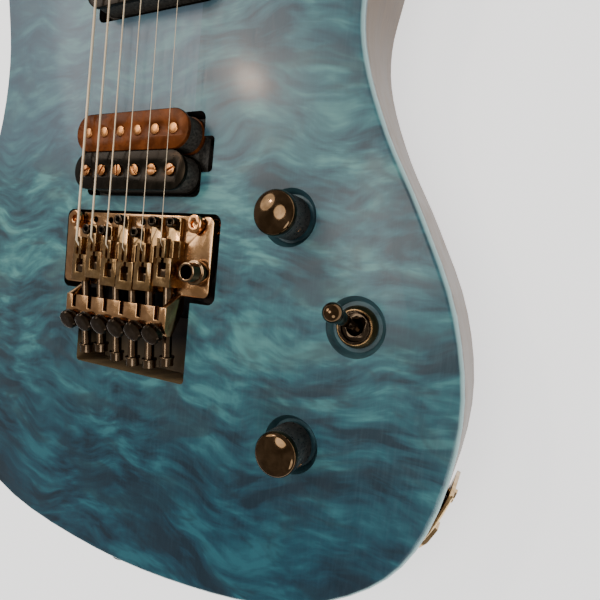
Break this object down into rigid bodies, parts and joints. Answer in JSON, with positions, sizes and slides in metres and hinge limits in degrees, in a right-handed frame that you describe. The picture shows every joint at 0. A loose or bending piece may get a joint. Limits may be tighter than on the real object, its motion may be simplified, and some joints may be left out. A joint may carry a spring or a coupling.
{
  "type": "electric guitar",
  "caption": "Solid-body electric guitar with a quilted blue top, black-nickel locking tremolo bridge, humbucking pickups and a bolt-on neck.",
  "frame": {"origin": "on the flat back of the body, below the middle of the saddle line", "axes": "+X across to the treble side, +Y along the strings to the headstock, +Z out of the face"},
  "size_m": [0.314, 1.0175, 0.0728],
  "materials": {
    "body_wood": "satin",
    "stained_top": "satin stain",
    "neck_wood": "satin",
    "board_wood": "open grain",
    "fret_wire": "polished",
    "pearl": "gloss",
    "steel": "plain",
    "black_nickel": "black nickel plated",
    "dark_steel": "blackened",
    "black_plastic": "gloss",
    "coil_tape": "matt",
    "warm_nickel": "polished",
    "pot_metal": "plain",
    "black_knob": "gloss",
    "gold_nickel": "polished",
    "string_steel": "plain"
  },
  "bodies": {
    "body": {"body_core": "body_wood", "body_top": "stained_top", "neck": "neck_wood", "fretboard": "board_wood", "frets": "fret_wire", "position_dots": "pearl", "truss_rod": "steel", "neck_bolts": "steel", "nut_base": "black_nickel", "nut_clamps": "black_nickel", "nut_screws": "dark_steel", "string_retainer": "black_nickel", "tuner_housings": "black_nickel", "tuner_bushings": "black_nickel", "pivot_studs": "black_nickel", "spring_claw": "steel", "tremolo_springs": "steel", "pickup_bobbins": "black_plastic", "pickup_coils": "coil_tape", "pole_pieces": "warm_nickel", "pickup_bases": "warm_nickel", "pickup_screws": "dark_steel", "control_pots": "pot_metal", "switch_body": "pot_metal", "switch_nut": "dark_steel", "jack_plate": "gold_nickel", "output_jack": "gold_nickel", "strap_buttons": "black_nickel", "back_covers": "black_plastic", "cover_screws": "dark_steel", "strings": "string_steel"},
    "bridge": {"bridge_plate": "black_nickel", "saddles": "black_nickel", "saddle_screws": "dark_steel", "clamp_screws": "dark_steel", "sustain_block": "steel", "arm_socket": "black_nickel"},
    "fine_tuner_1": {"fine_tuner_1": "dark_steel"},
    "fine_tuner_2": {"fine_tuner_2": "dark_steel"},
    "fine_tuner_3": {"fine_tuner_3": "dark_steel"},
    "fine_tuner_4": {"fine_tuner_4": "dark_steel"},
    "fine_tuner_5": {"fine_tuner_5": "dark_steel"},
    "fine_tuner_6": {"fine_tuner_6": "dark_steel"},
    "tuner_key_1": {"tuner_key_1": "black_nickel"},
    "tuner_post_1": {"tuner_post_1": "black_nickel"},
    "tuner_key_2": {"tuner_key_2": "black_nickel"},
    "tuner_post_2": {"tuner_post_2": "black_nickel"},
    "tuner_key_3": {"tuner_key_3": "black_nickel"},
    "tuner_post_3": {"tuner_post_3": "black_nickel"},
    "tuner_key_4": {"tuner_key_4": "black_nickel"},
    "tuner_post_4": {"tuner_post_4": "black_nickel"},
    "tuner_key_5": {"tuner_key_5": "black_nickel"},
    "tuner_post_5": {"tuner_post_5": "black_nickel"},
    "tuner_key_6": {"tuner_key_6": "black_nickel"},
    "tuner_post_6": {"tuner_post_6": "black_nickel"},
    "volume": {"volume_knob": "black_knob", "volume_shaft": "pot_metal"},
    "tone": {"tone_knob": "black_knob", "tone_shaft": "pot_metal"},
    "switch_lever": {"switch_lever": "black_knob"}
  },
  "joints": [
    {"name": "tremolo_pivot", "type": "hinge", "parent": "body", "child": "bridge", "pos_m": [0, 0.0062, 0.0444], "axis": [-1, 0, 0], "range_deg": [-6, 16], "stiffness_Nm_per_rad": 12, "deforming": ["strings", "tremolo_springs"]},
    {"name": "fine_tuner_1_turn", "type": "hinge", "parent": "bridge", "child": "fine_tuner_1", "pos_m": [-0.0265, -0.0396, 0.0546], "axis": [0, -0.4226, 0.9063], "range_deg": [-1080, 1080]},
    {"name": "fine_tuner_2_turn", "type": "hinge", "parent": "bridge", "child": "fine_tuner_2", "pos_m": [-0.0159, -0.0396, 0.0546], "axis": [0, -0.4226, 0.9063], "range_deg": [-1080, 1080]},
    {"name": "fine_tuner_3_turn", "type": "hinge", "parent": "bridge", "child": "fine_tuner_3", "pos_m": [-0.0053, -0.0396, 0.0546], "axis": [0, -0.4226, 0.9063], "range_deg": [-1080, 1080]},
    {"name": "fine_tuner_4_turn", "type": "hinge", "parent": "bridge", "child": "fine_tuner_4", "pos_m": [0.0053, -0.0396, 0.0546], "axis": [0, -0.4226, 0.9063], "range_deg": [-1080, 1080]},
    {"name": "fine_tuner_5_turn", "type": "hinge", "parent": "bridge", "child": "fine_tuner_5", "pos_m": [0.0159, -0.0396, 0.0546], "axis": [0, -0.4226, 0.9063], "range_deg": [-1080, 1080]},
    {"name": "fine_tuner_6_turn", "type": "hinge", "parent": "bridge", "child": "fine_tuner_6", "pos_m": [0.0265, -0.0396, 0.0546], "axis": [0, -0.4226, 0.9063], "range_deg": [-1080, 1080]},
    {"name": "volume_turn", "type": "hinge", "parent": "body", "child": "volume", "pos_m": [0.0822, 0.0143, 0.044], "axis": [0, 0, 1], "range_deg": [-300, 0]},
    {"name": "tone_turn", "type": "hinge", "parent": "body", "child": "tone", "pos_m": [0.0925, -0.0777, 0.044], "axis": [0, 0, 1], "range_deg": [-300, 0]},
    {"name": "switch_tilt", "type": "hinge", "parent": "body", "child": "switch_lever", "pos_m": [0.1148, -0.0263, 0.043], "axis": [1, 0, 0], "range_deg": [0, 28]},
    {"name": "tuner_key_1_turn", "type": "hinge", "parent": "body", "child": "tuner_key_1", "pos_m": [-0.0206, 0.69, 0.0215], "axis": [0.9637, -0.2669, 0], "range_deg": [-1800, 1800]},
    {"name": "tuner_key_2_turn", "type": "hinge", "parent": "body", "child": "tuner_key_2", "pos_m": [-0.0134, 0.716, 0.0215], "axis": [0.9637, -0.2669, 0], "range_deg": [-1800, 1800]},
    {"name": "tuner_key_3_turn", "type": "hinge", "parent": "body", "child": "tuner_key_3", "pos_m": [-0.0062, 0.742, 0.0215], "axis": [0.9637, -0.2669, 0], "range_deg": [-1800, 1800]},
    {"name": "tuner_key_4_turn", "type": "hinge", "parent": "body", "child": "tuner_key_4", "pos_m": [0.001, 0.768, 0.0215], "axis": [0.9637, -0.2669, 0], "range_deg": [-1800, 1800]},
    {"name": "tuner_key_5_turn", "type": "hinge", "parent": "body", "child": "tuner_key_5", "pos_m": [0.0082, 0.794, 0.0215], "axis": [0.9637, -0.2669, 0], "range_deg": [-1800, 1800]},
    {"name": "tuner_key_6_turn", "type": "hinge", "parent": "body", "child": "tuner_key_6", "pos_m": [0.0154, 0.82, 0.0215], "axis": [0.9637, -0.2669, 0], "range_deg": [-1800, 1800]},
    {"name": "tuner_post_1_turn", "type": "hinge", "parent": "body", "child": "tuner_post_1", "pos_m": [-0.0206, 0.69, 0.042], "axis": [0, 0, 1], "range_deg": [-130, 130]},
    {"name": "tuner_post_2_turn", "type": "hinge", "parent": "body", "child": "tuner_post_2", "pos_m": [-0.0134, 0.716, 0.042], "axis": [0, 0, 1], "range_deg": [-130, 130]},
    {"name": "tuner_post_3_turn", "type": "hinge", "parent": "body", "child": "tuner_post_3", "pos_m": [-0.0062, 0.742, 0.042], "axis": [0, 0, 1], "range_deg": [-130, 130]},
    {"name": "tuner_post_4_turn", "type": "hinge", "parent": "body", "child": "tuner_post_4", "pos_m": [0.001, 0.768, 0.042], "axis": [0, 0, 1], "range_deg": [-130, 130]},
    {"name": "tuner_post_5_turn", "type": "hinge", "parent": "body", "child": "tuner_post_5", "pos_m": [0.0082, 0.794, 0.042], "axis": [0, 0, 1], "range_deg": [-130, 130]},
    {"name": "tuner_post_6_turn", "type": "hinge", "parent": "body", "child": "tuner_post_6", "pos_m": [0.0154, 0.82, 0.042], "axis": [0, 0, 1], "range_deg": [-130, 130]}
  ],
  "couplings": [
    {"joint": "tuner_post_1_turn", "follows": "tuner_key_1_turn", "ratio": 0.071429},
    {"joint": "tuner_post_2_turn", "follows": "tuner_key_2_turn", "ratio": 0.071429},
    {"joint": "tuner_post_3_turn", "follows": "tuner_key_3_turn", "ratio": 0.071429},
    {"joint": "tuner_post_4_turn", "follows": "tuner_key_4_turn", "ratio": 0.071429},
    {"joint": "tuner_post_5_turn", "follows": "tuner_key_5_turn", "ratio": 0.071429},
    {"joint": "tuner_post_6_turn", "follows": "tuner_key_6_turn", "ratio": 0.071429}
  ]
}
